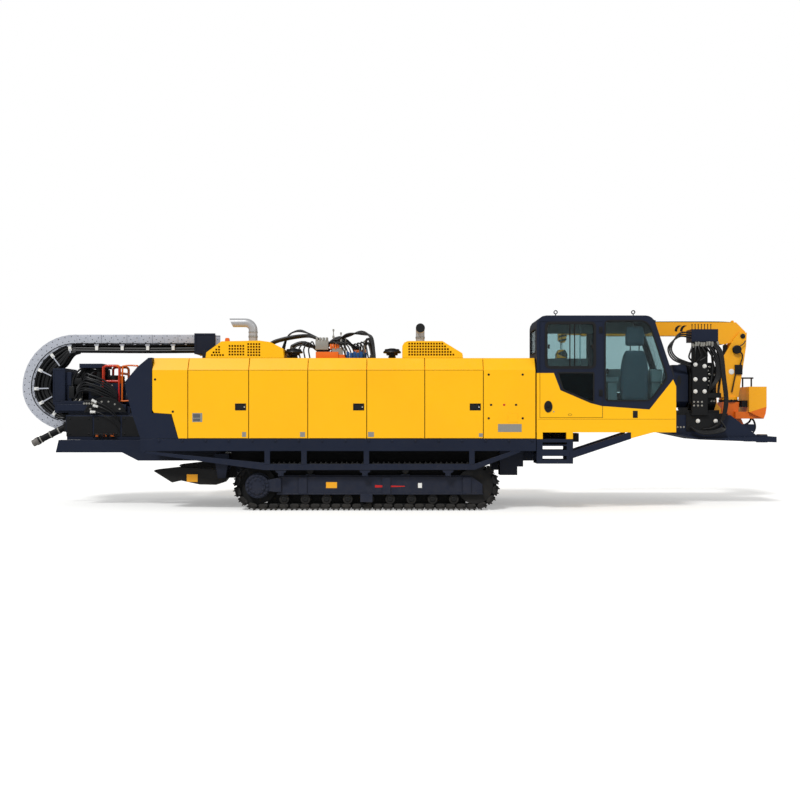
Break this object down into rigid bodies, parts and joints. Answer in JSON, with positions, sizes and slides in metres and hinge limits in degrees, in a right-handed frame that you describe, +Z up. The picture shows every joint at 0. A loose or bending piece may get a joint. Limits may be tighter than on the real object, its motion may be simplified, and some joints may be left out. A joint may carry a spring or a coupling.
{
  "type": "horizontal directional drill",
  "caption": "Tracked horizontal directional drill with side cabinets, tilting mast, rotary carriage on rails, hose chain, breakout vises, operator cab and folding crane.",
  "frame": {"origin": "on the ground, below the middle of the overall box", "axes": "+X forward along the drill string to the drilling end, +Y to the left, +Z up"},
  "size_m": [14.7396, 3, 3.673],
  "materials": {
    "track_iron": "worn cast steel, dusty",
    "navy_paint": "satin dark blue-grey paint",
    "yellow_paint": "gloss yellow paint",
    "amber_paint": "gloss amber paint",
    "orange_paint": "gloss orange paint",
    "red_paint": "gloss red paint",
    "black_steel": "semi-matt black paint",
    "engine_iron": "painted cast iron",
    "galvanised": "galvanised, slightly dull",
    "exhaust_steel": "aluminised steel",
    "rod_steel": "hard chromed",
    "hose_rubber": "matt black rubber hose",
    "window_glass": "lightly tinted safety glass",
    "seat_cloth": "vinyl seat cover",
    "console_plastic": "moulded plastic"
  },
  "bodies": {
    "chassis": {"track_near": "track_iron", "track_far": "track_iron", "track_frames": "navy_paint", "sprockets": "navy_paint", "idlers": "black_steel", "track_rollers": "black_steel", "crawler_beam": "navy_paint", "base_frame": "navy_paint", "near_cabinet": "yellow_paint", "far_cabinet": "yellow_paint", "rear_shrouds": "navy_paint", "engines": "engine_iron", "engine_hoods": "yellow_paint", "exhaust_pipes": "exhaust_steel", "air_intakes": "black_steel", "roof_valves": "navy_paint", "roof_hoses": "hose_rubber", "cab_shell": "navy_paint", "cab_base": "yellow_paint", "cab_glass": "window_glass", "cab_seat": "seat_cloth", "cab_consoles": "console_plastic", "cab_steps": "navy_paint", "crane_pedestal": "orange_paint", "crane_stand": "orange_paint"},
    "side_door_1": {"door_1": "yellow_paint"},
    "side_door_2": {"door_2": "yellow_paint"},
    "side_door_3": {"door_3": "yellow_paint"},
    "side_door_4": {"door_4": "yellow_paint"},
    "side_door_5": {"door_5": "yellow_paint"},
    "operator_door": {"cab_door": "navy_paint", "cab_door_skin": "yellow_paint", "door_glass": "window_glass"},
    "mast": {"mast_frame": "navy_paint", "chain_guide": "navy_paint", "front_vise": "black_steel", "valve_stack": "navy_paint", "vise_hoses": "hose_rubber", "chain_top_run": "galvanised", "mud_pipe": "black_steel"},
    "turning_vise": {"rear_vise": "navy_paint"},
    "carriage": {"carriage_frame": "navy_paint", "side_guards": "black_steel", "gearbox": "navy_paint", "drive_motors": "black_steel", "carriage_boxes": "navy_paint", "guard_rail": "red_paint", "chain_lower_run": "galvanised"},
    "drill_spindle": {"spindle": "galvanised"},
    "hose_chain": {"chain_bend": "galvanised"},
    "crane_post": {"crane_column": "amber_paint"},
    "boom": {"crane_boom": "amber_paint"},
    "inner_boom": {"boom_extension": "amber_paint", "hook_block": "amber_paint"},
    "boom_barrel": {"boom_cylinder": "black_steel"},
    "boom_piston": {"boom_rod": "rod_steel"},
    "near_stabilizer": {"stabilizer_near": "black_steel"},
    "far_stabilizer": {"stabilizer_far": "black_steel"},
    "tilt_barrel": {"tilt_cylinders": "black_steel"},
    "tilt_piston": {"tilt_rods": "rod_steel"}
  },
  "joints": [
    {"name": "side_door_1_hinge", "type": "hinge", "parent": "chassis", "child": "side_door_1", "pos_m": [-3.874, -1.496, 1.92], "axis": [0, 0, -1], "range_deg": [0, 85]},
    {"name": "side_door_2_hinge", "type": "hinge", "parent": "chassis", "child": "side_door_2", "pos_m": [-1.728, -1.496, 1.92], "axis": [0, 0, 1], "range_deg": [0, 85]},
    {"name": "side_door_3_hinge", "type": "hinge", "parent": "chassis", "child": "side_door_3", "pos_m": [-1.714, -1.496, 1.92], "axis": [0, 0, -1], "range_deg": [0, 85]},
    {"name": "side_door_4_hinge", "type": "hinge", "parent": "chassis", "child": "side_door_4", "pos_m": [0.379, -1.496, 1.92], "axis": [0, 0, 1], "range_deg": [0, 85]},
    {"name": "side_door_5_hinge", "type": "hinge", "parent": "chassis", "child": "side_door_5", "pos_m": [0.393, -1.496, 1.92], "axis": [0, 0, -1], "range_deg": [0, 85]},
    {"name": "operator_door_hinge", "type": "hinge", "parent": "chassis", "child": "operator_door", "pos_m": [3.5957, -1.5, 2.5], "axis": [0, 0, 1], "range_deg": [0, 88]},
    {"name": "mast_tilt", "type": "hinge", "parent": "chassis", "child": "mast", "pos_m": [2.4, 0, 1.215], "axis": [0, 1, 0], "range_deg": [0, 14]},
    {"name": "carriage_feed", "type": "slide", "parent": "mast", "child": "carriage", "axis": [1, 0, 0], "range_m": [0, 10], "deforming": ["chain_top_run"]},
    {"name": "spindle_turn", "type": "hinge", "parent": "carriage", "child": "drill_spindle", "pos_m": [-5.5, 0, 2.06], "axis": [1, 0, 0], "continuous": true},
    {"name": "hose_chain_travel", "type": "slide", "parent": "carriage", "child": "hose_chain", "axis": [-1, 0, 0], "range_m": [0, 7.7], "deforming": ["chain_lower_run"]},
    {"name": "vise_turn", "type": "hinge", "parent": "mast", "child": "turning_vise", "pos_m": [5.325, 0, 2.06], "axis": [1, 0, 0], "range_deg": [-10, 25]},
    {"name": "crane_slew", "type": "hinge", "parent": "chassis", "child": "crane_post", "pos_m": [6.7, 0.95, 2.04], "axis": [0, 0, -1], "range_deg": [0, 180]},
    {"name": "boom_lift", "type": "hinge", "parent": "crane_post", "child": "boom", "pos_m": [6.95, 0.95, 3.347], "axis": [0, 1, 0], "range_deg": [0, 60]},
    {"name": "boom_extend", "type": "slide", "parent": "boom", "child": "inner_boom", "axis": [-1, 0, 0], "range_m": [0, 2]},
    {"name": "boom_barrel_pivot", "type": "hinge", "parent": "crane_post", "child": "boom_barrel", "pos_m": [6.63, 0.95, 2.54], "axis": [0, 1, 0], "range_deg": [0, 3]},
    {"name": "boom_piston_slide", "type": "slide", "parent": "boom_barrel", "child": "boom_piston", "axis": [0.0138, 0, 0.9999], "range_m": [0, 0.32]},
    {"name": "near_stabilizer_hinge", "type": "hinge", "parent": "chassis", "child": "near_stabilizer", "pos_m": [-3.33, -1, 0.64], "axis": [0, -1, 0], "range_deg": [0, 32]},
    {"name": "far_stabilizer_hinge", "type": "hinge", "parent": "chassis", "child": "far_stabilizer", "pos_m": [-3.33, 1, 0.64], "axis": [0, -1, 0], "range_deg": [0, 32]},
    {"name": "tilt_barrel_pivot", "type": "hinge", "parent": "chassis", "child": "tilt_barrel", "pos_m": [-1.5, 0, 0.83], "axis": [0, -1, 0], "range_deg": [0, 13]},
    {"name": "tilt_piston_slide", "type": "slide", "parent": "tilt_barrel", "child": "tilt_piston", "axis": [0.9635, 0, 0.2676], "range_m": [0, 0.28]}
  ],
  "couplings": [
    {"joint": "hose_chain_travel", "follows": "carriage_feed", "ratio": 0.77},
    {"joint": "boom_barrel_pivot", "follows": "boom_lift", "ratio": 0.045},
    {"joint": "boom_piston_slide", "follows": "boom_lift", "m_per_rad": 0.3008},
    {"joint": "tilt_barrel_pivot", "follows": "mast_tilt", "ratio": 0.8907},
    {"joint": "tilt_piston_slide", "follows": "mast_tilt", "m_per_rad": 1.115}
  ]
}
